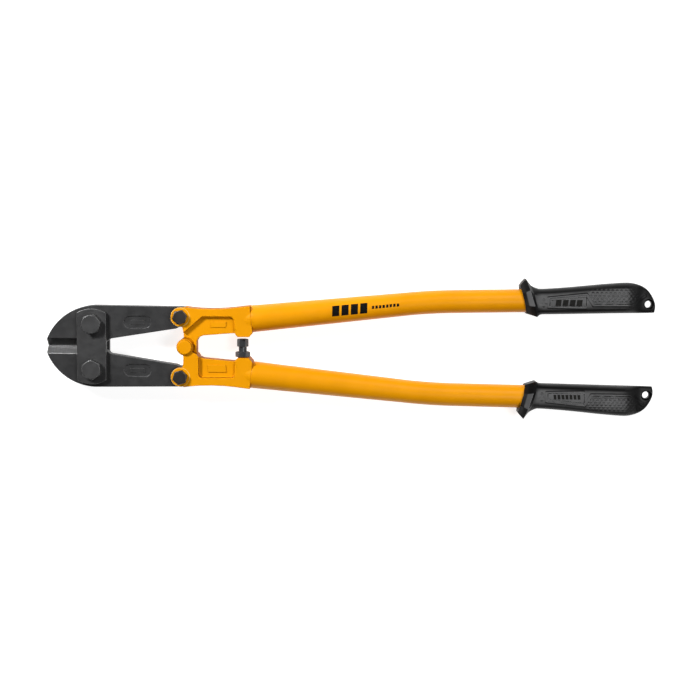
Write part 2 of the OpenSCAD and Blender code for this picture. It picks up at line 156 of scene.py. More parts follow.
def make_floor():
    """A pale floor that glows, as a light table does, so shadows stay soft."""
    bm = bmesh.new()
    bmesh.ops.create_grid(bm, x_segments=1, y_segments=1, size=FLOOR_SIZE)
    floor = add_object("floor", bm)
    floor.location = (0, 0, CAD_BOX[0].z - FLOOR_GAP)
    mat, _, _, shader = new_material("floor", (FLOOR_GREY,) * 3, 0.9, 0)
    shader.inputs["Emission Color"].default_value = PALE
    shader.inputs["Emission Strength"].default_value = FLOOR_GLOW
    floor.data.materials.append(mat)


# ---------------------------------------------------------------- materials

NOISE_ROUGHNESS = 0.55
NOISE_LOW, NOISE_HIGH = 0.3, 0.7
EDGE_SAMPLES = 4
# Plain colour of each material, for a viewer that can't follow its nodes
PAINT_BASE = (0.86, 0.35, 0.002)
GROUND_BASE = (0.2, 0.2, 0.2)
VINYL_BASE = (0.03, 0.03, 0.03)
INK_BASE = (0.012, 0.012, 0.012)
# Enamel: its two tones, where it is thin, the pale ring round the link bolts, and the painted shade on the yokes'
# side faces
PAINT_TONES = ((0.77, 0.300, 0.0008), (0.85, 0.336, 0.0016))
PAINT_THIN = (0.90, 0.41, 0.02)
EAR_RIM_WEAR_AND_HIGHLIGHT = (0.90, 0.62, 0.22)
YOKE_WALL_SHADE = (0.42, 0.13, 0.001)
# Pale ring round the link bolts on the yokes, partly rubbed-through paint and partly a painted highlight on the
# ears' rims: radius and half width in millimetres
EAR_RING_R = 9.25
EAR_RING_W = 0.22
STEEL_RUBBED = (0.17, 0.17, 0.172)
GROUND_TONES = ((0.17, 0.17, 0.172), (0.25, 0.25, 0.25))
# Grip vinyl: grey painted sheen on the broad faces, near-black painted shade on the sides, and a pale painted
# highlight on the relief's edges
VINYL_FACE_SHEEN = ((0.078, 0.078, 0.079), (0.112, 0.112, 0.113))
VINYL_SIDE_SHADE = ((0.0015, 0.0015, 0.0016), (0.003, 0.003, 0.0031))
VINYL_EDGE_HIGHLIGHT = (0.30, 0.30, 0.305)
INK_TONES = ((0.008, 0.008, 0.008), (0.02, 0.019, 0.017))
# Where the grey painted sheen of a grip fades out to painted shade, back from the tool's end in metres
SHEEN_FADE_BACK = (0.034, 0.014)
SHEEN_FADE_LEFT = 0.15


def new_material(name, colour, roughness, metallic):
    """A material with its node tree's nodes and links, and its shader."""
    mat = bpy.data.materials.new(name)
    mat.use_nodes = True
    nodes, links = mat.node_tree.nodes, mat.node_tree.links
    shader = nodes["Principled BSDF"]
    shader.inputs["Base Color"].default_value = (*colour, 1)
    shader.inputs["Roughness"].default_value = roughness
    shader.inputs["Metallic"].default_value = metallic
    return mat, nodes, links, shader


def object_noise(nodes, links, scale, detail=4.0, stretch=(1, 1, 1)):
    """A noise texture in object coordinates, stretched by the given factors."""
    coords = nodes.new("ShaderNodeTexCoord")
    mapping = nodes.new("ShaderNodeMapping")
    mapping.inputs["Scale"].default_value = stretch
    noise = nodes.new("ShaderNodeTexNoise")
    noise.inputs["Scale"].default_value = scale
    noise.inputs["Detail"].default_value = detail
    noise.inputs["Roughness"].default_value = NOISE_ROUGHNESS
    links.new(coords.outputs["Object"], mapping.inputs["Vector"])
    links.new(mapping.outputs["Vector"], noise.inputs["Vector"])
    return noise.outputs["Fac"]


def ramp(nodes, links, fac, low, high):
    """Noise turned into a colour between low and high."""
    node = nodes.new("ShaderNodeValToRGB")
    node.color_ramp.elements[0].position = NOISE_LOW
    node.color_ramp.elements[1].position = NOISE_HIGH
    node.color_ramp.elements[0].color = (*low, 1)
    node.color_ramp.elements[1].color = (*high, 1)
    links.new(fac, node.inputs["Fac"])
    return node.outputs["Color"]


def remap(nodes, links, fac, low, high, start=NOISE_LOW, end=NOISE_HIGH, smooth=False):
    """Fac from start to end turned into a number from low to high, held outside."""
    node = nodes.new("ShaderNodeMapRange")
    if smooth:
        node.interpolation_type = "SMOOTHSTEP"
    node.inputs["From Min"].default_value = start
    node.inputs["From Max"].default_value = end
    node.inputs["To Min"].default_value = low
    node.inputs["To Max"].default_value = high
    links.new(fac, node.inputs["Value"])
    return node.outputs["Result"]


def math_node(nodes, links, operation, *values):
    """A Math node on numbers and sockets."""
    node = nodes.new("ShaderNodeMath")
    node.operation = operation
    for socket, value in zip(node.inputs, values):
        if isinstance(value, (int, float)):
            socket.default_value = value
        else:
            links.new(value, socket)
    return node.outputs["Value"]


def vector_node(nodes, links, operation, *values):
    """A Vector Math node on vectors and sockets."""
    node = nodes.new("ShaderNodeVectorMath")
    node.operation = operation
    for socket, value in zip(node.inputs, values):
        if isinstance(value, tuple):
            socket.default_value = value
        else:
            links.new(value, socket)
    return node


def edge_mask(nodes, links, radius, low, high):
    """1 along edges and corners sharper than the radius in metres, 0 on flats."""
    rounded = nodes.new("ShaderNodeBevel")
    rounded.samples = EDGE_SAMPLES
    rounded.inputs["Radius"].default_value = radius
    geometry = nodes.new("ShaderNodeNewGeometry")
    dot = vector_node(nodes, links, "DOT_PRODUCT", rounded.outputs["Normal"],
                      geometry.outputs["Normal"])
    return remap(nodes, links, dot.outputs["Value"], 0.0, 1.0, high, low)


def facing_mask(nodes, links, low, high):
    """1 on faces square to the tool's height, 0 on its side walls."""
    coords = nodes.new("ShaderNodeTexCoord")
    split = nodes.new("ShaderNodeSeparateXYZ")
    links.new(coords.outputs["Normal"], split.inputs["Vector"])
    size = math_node(nodes, links, "ABSOLUTE", split.outputs["Z"])
    return remap(nodes, links, size, 0.0, 1.0, low, high, smooth=True)


def ring_mask(nodes, links, centres, radius, width):
    """1 within width of a circle about a vertical axis at each centre, else 0."""
    coords = nodes.new("ShaderNodeTexCoord")
    found = 0.0
    for at in centres:
        flat = vector_node(nodes, links, "MULTIPLY", coords.outputs["Object"], (1, 1, 0))
        apart = vector_node(nodes, links, "DISTANCE", flat.outputs["Vector"], (at.x, at.y, 0))
        ring = math_node(nodes, links, "COMPARE", apart.outputs["Value"], radius, width)
        found = math_node(nodes, links, "MAXIMUM", found, ring)
    return found


def times(nodes, links, a, b):
    return math_node(nodes, links, "MULTIPLY", a, b)


def mix_colour(nodes, links, fac, a, b):
    """A at fac 0, b at fac 1; each is a colour or a socket."""
    node = nodes.new("ShaderNodeMix")
    node.data_type = "RGBA"
    links.new(fac, node.inputs["Factor"])
    for socket, value in ((node.inputs["A"], a), (node.inputs["B"], b)):
        if isinstance(value, tuple):
            socket.default_value = (*value, 1)
        else:
            links.new(value, socket)
    return node.outputs["Result"]


def add_bump(nodes, links, shader, layers):
    """Stacks bump layers of (height, strength, distance in metres) into the normal."""
    normal = None
    for height, strength, distance in layers:
        bump = nodes.new("ShaderNodeBump")
        bump.inputs["Strength"].default_value = strength
        bump.inputs["Distance"].default_value = distance
        links.new(height, bump.inputs["Height"])
        if normal is not None:
            links.new(normal, bump.inputs["Normal"])
        normal = bump.outputs["Normal"]
    links.new(normal, shader.inputs["Normal"])


def yellow_paint(name, roughness, grain, grain_height, walls=None, rings=()):
    """Baked enamel: slight colour drift, orange peel and thin paint on edges, with painted shade
    on the side faces and, where given, pale rings round the link bolts: rubbed paint and painted highlight."""
    mat, nodes, links, shader = new_material(name, PAINT_BASE, roughness, 0)
    drift = object_noise(nodes, links, 28)
    base = ramp(nodes, links, drift, *PAINT_TONES)
    # Painted shade: faces that turn away from the tool's height take the darker wall colour
    if walls:
        base = mix_colour(nodes, links, facing_mask(nodes, links, 0.25, 0.85), walls, base)
    edge = times(nodes, links, edge_mask(nodes, links, 0.0009, 0.80, 0.97), 0.6)
    base = mix_colour(nodes, links, edge, base, PAINT_THIN)
    # Pale ring on the front faces round each link bolt: partly rubbed-through paint, partly a painted highlight on
    # the ear's rim
    if rings:
        ring = ring_mask(nodes, links, rings, EAR_RING_R * MM, EAR_RING_W * MM)
        patchy = remap(nodes, links, object_noise(nodes, links, 240), 0.35, 1.0)
        rim_wear_and_glint = times(nodes, links, ring, patchy)
        rim_wear_and_glint = times(nodes, links, rim_wear_and_glint, facing_mask(nodes, links, 0.35, 0.7))
        base = mix_colour(nodes, links, rim_wear_and_glint, base, EAR_RIM_WEAR_AND_HIGHLIGHT)
    links.new(base, shader.inputs["Base Color"])
    smear = object_noise(nodes, links, 90)
    gloss = remap(nodes, links, smear, roughness - 0.05, roughness + 0.07)
    links.new(gloss, shader.inputs["Roughness"])
    peel = object_noise(nodes, links, grain, detail=2)
    swell = object_noise(nodes, links, grain / 7, detail=2)
    add_bump(nodes, links, shader,
             ((swell, 0.35, grain_height * 2), (peel, 0.3, grain_height)))
    shader.inputs["Specular IOR Level"].default_value = 0.07 if walls else 0.16
    return mat


def dark_steel(name, low, high, roughness, pit):
    """Heat-treated forging: dark oxide, fine pitting and paler rubbed edges."""
    mat, nodes, links, shader = new_material(name, low, roughness, 0.5)
    drift = object_noise(nodes, links, 45)
    base = ramp(nodes, links, drift, low, high)
    edge = edge_mask(nodes, links, 0.0007, 0.82, 0.98)
    base = mix_colour(nodes, links, edge, base, STEEL_RUBBED)
    links.new(base, shader.inputs["Base Color"])
    cloud = object_noise(nodes, links, 130)
    gloss = remap(nodes, links, cloud, roughness - 0.07, roughness + 0.09)
    links.new(gloss, shader.inputs["Roughness"])
    pits = object_noise(nodes, links, 1500, detail=3)
    scale = object_noise(nodes, links, 260, detail=3)
    add_bump(nodes, links, shader, ((scale, 0.3, pit * 1.5), (pits, 0.35, pit)))
    return mat


def ground_steel():
    """Bright ground bevel with fine grinding lines across the edge."""
    mat, nodes, links, shader = new_material("ground_steel", GROUND_BASE, 0.36, 1)
    lines = object_noise(nodes, links, 420, detail=3, stretch=(8, 0.5, 0.5))
    base = ramp(nodes, links, lines, *GROUND_TONES)
    links.new(base, shader.inputs["Base Color"])
    links.new(remap(nodes, links, lines, 0.28, 0.42), shader.inputs["Roughness"])
    add_bump(nodes, links, shader, ((lines, 0.25, 0.00005),))
    return mat


def sheen_end_fade(nodes, links):
    """1 along the grip, falling to a little at its thin end, where the painted sheen gives way to painted shade.
    """
    coords = nodes.new("ShaderNodeTexCoord")
    split = nodes.new("ShaderNodeSeparateXYZ")
    links.new(coords.outputs["Object"], split.inputs["Vector"])
    start, end = (CAD_BOX[1].x - back for back in SHEEN_FADE_BACK)
    return remap(nodes, links, split.outputs["X"], 1.0, SHEEN_FADE_LEFT, start, end, smooth=True)


def black_vinyl():
    """Moulded grip: painted sheen, grey, on its broad faces, painted shade, deep black,
    on its sides, and painted highlights on the edges of its relief.
    """
    mat, nodes, links, shader = new_material("black_vinyl", VINYL_BASE, 0.4, 0)
    drift = object_noise(nodes, links, 60)
    face_sheen = ramp(nodes, links, drift, *VINYL_FACE_SHEEN)
    side_shade = ramp(nodes, links, drift, *VINYL_SIDE_SHADE)
    # Painted sheen on faces square to the tool's height, painted shade on the sides
    facing = times(nodes, links, facing_mask(nodes, links, 0.72, 1.0), sheen_end_fade(nodes, links))
    base = mix_colour(nodes, links, facing, side_shade, face_sheen)
    # Painted highlight: the relief's ridges and studs turn pale where the broad faces carry the painted sheen
    edge = times(nodes, links, edge_mask(nodes, links, 0.0007, 0.84, 0.985), facing)
    base = mix_colour(nodes, links, edge, base, VINYL_EDGE_HIGHLIGHT)
    links.new(base, shader.inputs["Base Color"])
    wear = object_noise(nodes, links, 110)
    links.new(remap(nodes, links, wear, 0.36, 0.46), shader.inputs["Roughness"])
    grain = object_noise(nodes, links, 1900, detail=2)
    add_bump(nodes, links, shader, ((grain, 0.25, 0.00006),))
    shader.inputs["Specular IOR Level"].default_value = 0.12
    return mat


def print_ink():
    """Matt black print, with paint showing through in flecks."""
    mat, nodes, links, shader = new_material("print_ink", INK_BASE, 0.6, 0)
    flecks = object_noise(nodes, links, 900)
    links.new(ramp(nodes, links, flecks, *INK_TONES), shader.inputs["Base Color"])
    add_bump(nodes, links, shader, ((flecks, 0.15, 0.00003),))
    shader.inputs["Specular IOR Level"].default_value = 0.06
    return mat


# ---------------------------------------------------------------- mesh helpers

# Welding distance in metres, and the angles under which faces merge and over
# which edges are rounded
WELD = 2e-6
FLAT_ANGLE = math.radians(0.3)
BEVEL_ANGLE = math.radians(28)


def add_object(name, bm):
    """Turns a bmesh into a linked object and frees it."""
    mesh = bpy.data.meshes.new(name)
    bm.to_mesh(mesh)
    bm.free()
    obj = bpy.data.objects.new(name, mesh)
    bpy.context.scene.collection.objects.link(obj)
    return obj


def shade(obj, angle=32):
    """Smooth shading, with edges sharp beyond the angle in degrees."""
    for face in obj.data.polygons:
        face.use_smooth = True
    obj.data.set_sharp_from_angle(angle=math.radians(angle))


def keep_flats_flat(obj):
    """Weights the normals by face area, so rounded edges leave flats flat."""
    weighted = obj.modifiers.new("flat_faces", "WEIGHTED_NORMAL")
    weighted.keep_sharp = True
    weighted.weight = 80


def welded_copy(node):
    """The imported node's mesh with its split vertices joined and flats merged."""
    bm = bmesh.new()
    bm.from_mesh(frame["nodes"][node].data)
    bmesh.ops.remove_doubles(bm, verts=bm.verts, dist=WELD)
    bmesh.ops.dissolve_limit(bm, angle_limit=FLAT_ANGLE, verts=bm.verts, edges=bm.edges)
    return bm


def machined(node, body, slot, material, radius, name=None, segments=2):
    """A node with its edges rounded by a radius in millimetres."""
    bm = welded_copy(node)
    edges = [e for e in bm.edges
             if len(e.link_faces) == 2 and e.calc_face_angle(0) > BEVEL_ANGLE]
    bmesh.ops.bevel(bm, geom=edges, offset=radius * MM, segments=segments, profile=0.5,
                    affect="EDGES", clamp_overlap=False, loop_slide=True)
    bmesh.ops.recalc_face_normals(bm, faces=bm.faces)
    obj = add_object(name or node + "_part", bm)
    obj.data.materials.append(material)
    shade(obj)
    keep_flats_flat(obj)
    return settle(obj, body, slot, node)


def settle(obj, body, slot, *nodes):
    """Puts a piece on its body, in place of the nodes it stands for; the slot is not used."""
    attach(obj, body)
    if nodes:
        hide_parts(*nodes)
    return obj


def loft(name, rings, closed=False):
    """Skins a list of rings, each a list of points in row-frame metres. The last
    ring joins the first when closed, and else both ends are capped."""
    bm = bmesh.new()
    made = [[bm.verts.new(p) for p in ring] for ring in rings]
    count = len(made[0])
    pairs = list(zip(made, made[1:])) + ([(made[-1], made[0])] if closed else [])
    for a, b in pairs:
        for k in range(count):
            m = (k + 1) % count
            bm.faces.new((a[k], a[m], b[m], b[k]))
    if not closed:
        bm.faces.new(list(reversed(made[0])))
        bm.faces.new(made[-1])
    bmesh.ops.recalc_face_normals(bm, faces=bm.faces)
    return add_object(name, bm)


# ---------------------------------------------------------------- handle tubes

# Upper tube: where it leaves the yoke, its angle there, how far it bends back and
# at what radius, and the length over which it tapers
SEAM_X, SEAM_Y = 65.7, 27.9
SPLAY = math.radians(5.85)
BEND = math.radians(4.75)
BEND_R = 550.0
TAPER_L = 155.7
TUBE_R0, TUBE_R1 = 13.4, 11.45
WALL = 2.2
# How far the tube stops short of the grip's end
TUBE_END = 24.0
TUBE_SIDES = 96
TAPER_STEPS, BEND_STEPS, END_STEPS = 40, 20, 30
TUBE_LIP, LIP_STEPS = 0.5, 3


def tube_stations():
    """(x, y, direction, radius) along the upper tube's centre line."""
    found = []
    for i in range(TAPER_STEPS + 1):
        d = TAPER_L * i / TAPER_STEPS
        found.append((SEAM_X + d * math.cos(SPLAY), SEAM_Y + d * math.sin(SPLAY), SPLAY,
                      TUBE_R0 + (TUBE_R1 - TUBE_R0) * i / TAPER_STEPS))
    x0, y0 = found[-1][:2]
    cx, cy = x0 + BEND_R * math.sin(SPLAY), y0 - BEND_R * math.cos(SPLAY)
    for i in range(1, BEND_STEPS + 1):
        a = SPLAY - BEND * i / BEND_STEPS
        found.append((cx - BEND_R * math.sin(a), cy + BEND_R * math.cos(a), a, TUBE_R1))
    x1, y1 = found[-1][:2]
    a = SPLAY - BEND
    reach = (END_X - TUBE_END - x1) / math.cos(a)
    for i in range(1, END_STEPS + 1):
        d = reach * i / END_STEPS
        found.append((x1 + d * math.cos(a), y1 + d * math.sin(a), a, TUBE_R1))
    return found


STATIONS = tube_stations()


def tube_axis(x):
    """Height, direction and radius of the upper tube's centre line at x."""
    xs, *rest = zip(*STATIONS)
    return tuple(float(np.interp(x, xs, values)) for values in rest)


def ring_at(x, y, direction, radius, side):
    """A circle across the tube; side is 1 for the upper handle, -1 for the lower."""
    points = []
    for k in range(TUBE_SIDES):
        a = 2 * math.pi * k / TUBE_SIDES
        points.append(place(x - radius * math.cos(a) * math.sin(direction),
                            side * (y + radius * math.cos(a) * math.cos(direction)),
                            radius * math.sin(a)))
    return points


def make_tube(half, side, paint):
    """Hollow tapered tube with a small rounded lip at the yoke."""
    rings = []
    x, y, direction, r = STATIONS[0]
    for k in range(LIP_STEPS, -1, -1):
        a = math.pi / 2 * k / LIP_STEPS
        step = TUBE_LIP * (1 - math.sin(a))
        rings.append(ring_at(x + step * math.cos(direction), y + step * math.sin(direction),
                             direction, r - TUBE_LIP * (1 - math.cos(a)), side))
    rings += [ring_at(*s, side) for s in STATIONS[1:]]
    inner = [ring_at(x, y, direction, r - WALL, side) for x, y, direction, r in STATIONS]
    tube = loft(half + "_tube_shell", rings + inner[::-1], closed=True)
    tube.data.materials.append(paint)
    shade(tube, 50)
    return settle(tube, half + "_handle", "tube_paint", half + "_handle_tube")


# ---------------------------------------------------------------- marks

# Printed patches: their grid, height above the paint and thickness
PATCH_COLUMNS, PATCH_ROWS = 12, 10
PATCH_OUT = 0.03
PATCH_T = 0.05
# Raised bars: depth, edge rounding, slant, and the floors that pads stand on
BAR_CORNERS = ((-1, -1), (1, -1), (1, 1), (-1, 1))
BAR_DEPTH = 1.3
BAR_ROUND = 0.18
BAR_SLANT = 0.12
YOKE_FLOOR = 7.5
BADGE_FLOOR = 5.8
# Bold and small bars on the tube: how many, first x, pitch, length, and their two
# edges across the tube
BOLD_BARS = (4, 145.0, 9.2, 7.0, -4.6, 5.6)
SMALL_BARS = (8, 184.5, 3.5, 2.3, -0.9, 2.1)


def tube_patch(name, x0, length, across0, across1, ink):
    """A thin printed patch on the upper tube, from x0 and between two edges."""
    bm = bmesh.new()
    grid = []
    for i in range(PATCH_COLUMNS + 1):
        row = []
        for j in range(PATCH_ROWS + 1):
            v = across0 + (across1 - across0) * j / PATCH_ROWS
            x = x0 + length * i / PATCH_COLUMNS + BAR_SLANT * (v - across0)
            y, direction, r = tube_axis(x)
            a = math.acos(v / r)
            out = r + PATCH_OUT
            row.append(bm.verts.new(place(x - out * math.cos(a) * math.sin(direction),
                                          y + out * math.cos(a) * math.cos(direction),
                                          out * math.sin(a))))
        grid.append(row)
    for a, b in zip(grid, grid[1:]):
        for j in range(PATCH_ROWS):
            bm.faces.new((a[j], b[j], b[j + 1], a[j + 1]))
    bmesh.ops.solidify(bm, geom=bm.faces, thickness=-PATCH_T * MM)
    bmesh.ops.recalc_face_normals(bm, faces=bm.faces)
    patch = add_object(name, bm)
    patch.data.materials.append(ink)
    shade(patch, 50)
    return settle(patch, "upper_handle", "tube_paint")


def raised_row(name, body, slot, material, centre, size, count, pitch, top,
               side=1, faces=(1,)):
    """A row of plain raised bars whose tops stand at top(x), on the faces given:
    1 for the front, -1 for the back."""
    bm = bmesh.new()
    for n in range(count):
        x = centre[0] + (n - (count - 1) / 2) * pitch
        for face in faces:
            loops = []
            for drop, inset in ((BAR_DEPTH, 0), (BAR_ROUND, 0), (0, BAR_ROUND)):
                w, h = size[0] / 2 - inset, size[1] / 2 - inset
                z = face * (top(x) - drop)
                loops.append([bm.verts.new(place(x + u * w + v * h * BAR_SLANT,
                                                 side * (centre[1] + v * h), z))
                              for u, v in BAR_CORNERS])
            bm.faces.new(loops[0])
            bm.faces.new(loops[-1])
            for a, b in zip(loops, loops[1:]):
                for k in range(4):
                    bm.faces.new((a[k], a[k - 1], b[k - 1], b[k]))
    bmesh.ops.recalc_face_normals(bm, faces=bm.faces)
    bars = add_object(name, bm)
    bars.data.materials.append(material)
    shade(bars, 30)
    return settle(bars, body, slot)


# ---------------------------------------------------------------- yokes

VOXEL = 0.42
RELAX_ROUNDS = 7
KEPT_FACES = 0.5


def forged(node, body, slot, material):
    """A node remeshed and relaxed, so its corners turn into forging radii."""
    obj = add_object(node + "_forging", welded_copy(node))
    obj.data.materials.append(material)
    remesh = obj.modifiers.new("skin", "REMESH")
    remesh.mode = "VOXEL"
    remesh.voxel_size = VOXEL * MM
    relax = obj.modifiers.new("relax", "SMOOTH")
    relax.iterations = RELAX_ROUNDS
    relax.factor = 0.5
    thin = obj.modifiers.new("thin", "DECIMATE")
    thin.ratio = KEPT_FACES
    apply_modifiers(obj)
    shade(obj, 60)
    return settle(obj, body, slot, node)


def apply_modifiers(obj):
    """Gives the object its evaluated mesh and drops its modifiers."""
    graph = bpy.context.evaluated_depsgraph_get()
    mesh = bpy.data.meshes.new_from_object(obj.evaluated_get(graph))
    obj.modifiers.clear()
    obj.data = mesh


# ---------------------------------------------------------------- jaws

# Ground cutting bevel: length from the jaw's tip, half width, and how its faces
# lean against height and length
BEVEL_L = 34.0
BEVEL_W = 7.9
BEVEL_SLOPE = (0.35, 0.95)
BEVEL_TURN = 0.3


def make_jaw(half, steel, bright):
    """Dark forging whose ground cutting bevel is bright."""
    jaw = machined(half + "_jaw", half + "_jaw", "jaw_steel", steel, 0.55, half + "_jaw_blade")
    jaw.data.materials.append(bright)
    limit = CAD_BOX[0].x + BEVEL_L * MM
    for face in jaw.data.polygons:
        near = face.center.x < limit and abs(face.center.y - PIVOT.y) < BEVEL_W * MM
        slanted = BEVEL_SLOPE[0] < abs(face.normal.z) < BEVEL_SLOPE[1]
        if near and slanted and abs(face.normal.x) < BEVEL_TURN:
            face.material_index = 1
    return jaw


# ---------------------------------------------------------------- grips

# Grip coordinates: x from the guard's front, y from the centre pivot, millimetres
GRIP_L = 135.0
GRIP_X = END_X - GRIP_L
# Bore round the tube, seen at the guard's mouth
BORE_R = TUBE_R1 + 0.06
MOUTH_X = 6.0
BORE_RINGS = (14.0, 7.0)
BORE_LEAN = (1.0, -3.4)
# Points round a section, and how finely the lofts are stepped
AROUND = 208
CURVE_STEPS = 24
GUARD_STEPS = 5
HANDLE_STEPS = 250
# Behind the guard: where the handle starts, its lean there, and its rounded end
HANDLE_X = 23.0
LEAN, LEAN_L = 4.0, 14.0
END_ROUND = 2.0
ROUNDNESS = 2.5
# x and half thickness along the grip
SWELL = ((23, 13.2), (34, 13.8), (70, 14.5), (105, 14.7))
# Back of the grip, from behind the guard to the end
GRIP_TOP = ((18.4, 59.8), (26, 60.0), (41, 61.0), (61, 62.8), (81, 64.8), (102, 66.4),
            (112, 66.2), (121, 63.6), (127.5, 59.2), (132.0, 52.8), (134.7, 46.0),
            (135.0, 43.0))
# Underside of the grip
GRIP_BOTTOM = ((18.4, 34.7), (23, 34.5), (60, 35.3), (100, 36.2), (131, 36.7),
               (133.6, 37.6), (134.8, 40.0), (135.0, 43.0))
# Guard sections: lower point, upper point, half thickness, how octagonal
GUARD = (((6.9, 36.0), (0.2, 62.0), 12.6, 0.5),
         ((6.7, 35.4), (-0.1, 63.2), 13.4, 1.0),
         ((11.4, 34.0), (2.4, 66.4), 16.4, 1.0),
         ((17.4, 32.1), (5.6, 69.8), 16.95, 1.0),
         ((18.2, 32.6), (7.6, 67.0), 16.0, 0.9),
         ((19.2, 33.2), (10.6, 63.6), 14.3, 0.5),
         ((20.8, 34.2), (15.4, 60.8), 13.4, 0.2))


def grip_swell(x):
    """Half thickness of the grip at x."""
    return float(np.interp(x, *zip(*SWELL)))


def smooth_curve(points):
    """Catmull-Rom through the points, as a dense array."""
    p = np.array([points[0], *points, points[-1]], float)
    found = []
    for i in range(1, len(p) - 2):
        a, b, c, d = p[i - 1], p[i], p[i + 1], p[i + 2]
        for k in range(CURVE_STEPS):
            t = k / CURVE_STEPS
            found.append(0.5 * (2 * b + (c - a) * t + (2 * a - 5 * b + 4 * c - d) * t * t
                                + (3 * b - a - 3 * c + d) * t ** 3))
    found.append(p[-1])
    return np.array(found)


def section(low, high, half_t, octagon, power=ROUNDNESS):
    """Points round a grip section that stands on the line from low to high: a soft
    oblong at octagon 0, eight facets at 1."""
    low, high = np.array(low, float), np.array(high, float)
    middle, reach = (low + high) / 2, (high - low) / 2
    found = []
    for k in range(AROUND):
        a = 2 * math.pi * (k + 0.5) / AROUND
        c, s = math.cos(a), math.sin(a)
        soft_c = math.copysign(abs(c) ** (2 / power), c)
        soft_s = math.copysign(abs(s) ** (2 / power), s)
        facet = 1 / math.cos((a + math.pi / 8) % (math.pi / 4) - math.pi / 8)
        hard_c, hard_s = c * facet, s * facet
        c = soft_c + (hard_c - soft_c) * octagon
        s = soft_s + (hard_s - soft_s) * octagon
        c, s = max(-1, min(1, c)), max(-1, min(1, s))
        found.append((*(middle + reach * c), half_t * s))
    return np.array(found)


# Raised double line on each face of the grip: its path, width, height and gap
FRAME_LINE = ((27.2, 51.6), (64.9, 55.6), (71.3, 46.2), (110.5, 46.4), (124.5, 55.6))
FRAME_FOOT = ((27.2, 51.6), (27.2, 42.0), (64.0, 41.2))
RELIEF_X = 18.0
LINE_W = 1.25
LINE_H = 0.7
LINE_GAP = 2.2
# Sunk label panel: its ends, its lower edge and how far it stays below the line
PANEL_X = (29.2, 64.5)
PANEL_Y = 43.2
PANEL_GAP = 3.0
PANEL_DROP = 0.5
# Diamond studs: spacing, height, ends, and where they fade towards the back
BUMP_PITCH = (4.3, 2.5)
BUMP_ROW_Y = 40.0
BUMP_H = 0.62
BUMP_X = (67.0, 118.0)
BUMP_FADE_Y, BUMP_FADE_W = 64.5, 12.0
BUMP_LINE_GAP, BUMP_LINE_FADE = 1.6, 0.8
# Four small diamonds behind the guard
CLUSTER = (22.8, 46.6)
CLUSTER_STEP = (2.3, 3.1)
CLUSTER_H, CLUSTER_R, CLUSTER_TOP = 0.6, 1.7, 0.8
# Hanging hole, with the thin tab it is bored through
RING_R = 5.2
WEB_HALF_T = 3.5
TAB_HALF_T = 5.1
TAB_L = 11.6
TAB_SLOPE_L = 20.0
DRILL_SIDES = 72
DRILL_HALF_L = 40.0


def distance_to(points, x, y):
    """Distance from each x, y to an open line of points."""
    best = np.full(x.shape, 1e9)
    for (ax, ay), (bx, by) in zip(points, points[1:]):
        dx, dy = bx - ax, by - ay
        t = np.clip(((x - ax) * dx + (y - ay) * dy) / (dx * dx + dy * dy), 0, 1)
        best = np.minimum(best, np.hypot(x - ax - t * dx, y - ay - t * dy))
    return best


def ridge(distance, width, height):
    """A flat-topped bead along a line, falling to 0 at width from it."""
    return height * np.clip(1.8 * (1 - distance / width), 0, 1)


def relief(x, y):
    """Height of the moulded detail on a grip's broad face."""
    line = np.interp(x, [p[0] for p in FRAME_LINE], [p[1] for p in FRAME_LINE])
    height = ridge(distance_to(FRAME_LINE, x, y), LINE_W, LINE_H)
    groove = tuple((px, py - LINE_GAP / 2) for px, py in FRAME_LINE[1:])
    height = height - ridge(distance_to(groove, x, y), LINE_W * 0.6, LINE_H * 0.5)
    inner = tuple((px, py - LINE_GAP) for px, py in FRAME_LINE[1:])
    height = np.maximum(height, ridge(distance_to(inner, x, y), LINE_W, LINE_H * 0.8))
    height = np.maximum(height, ridge(distance_to(FRAME_FOOT, x, y), LINE_W * 0.9, LINE_H * 0.7))
    panel = (x > PANEL_X[0]) & (x < PANEL_X[1]) & (y < line - PANEL_GAP) & (y > PANEL_Y)
    height = np.where(panel, height - PANEL_DROP, height)
    # Staggered studs above the line
    row = np.floor((y - BUMP_ROW_Y) / BUMP_PITCH[1])
    u = (x + (row % 2) * BUMP_PITCH[0] / 2) / BUMP_PITCH[0] % 1.0 - 0.5
    v = (y - BUMP_ROW_Y) / BUMP_PITCH[1] % 1.0 - 0.5
    stud = np.clip(1 - 1.6 * (np.abs(u) * 1.25 + np.abs(v)), 0, 0.55) / 0.55
    field = np.clip((y - line - BUMP_LINE_GAP) / BUMP_LINE_FADE, 0, 1)
    field = field * np.clip((BUMP_FADE_Y - y) / BUMP_FADE_W, 0, 1)
    field = field * np.clip((x - BUMP_X[0]) / 2, 0, 1) * np.clip((BUMP_X[1] - x) / 2, 0, 1)
    height = height + BUMP_H * stud * field
    for dx, dy in ((-1, 0), (1, 0), (0, 1), (0, -1)):
        d = (np.abs(x - CLUSTER[0] - dx * CLUSTER_STEP[0])
             + np.abs(y - CLUSTER[1] - dy * CLUSTER_STEP[1]))
        height = height + CLUSTER_H * np.clip(CLUSTER_R - d, 0, CLUSTER_TOP) / CLUSTER_TOP
    return height


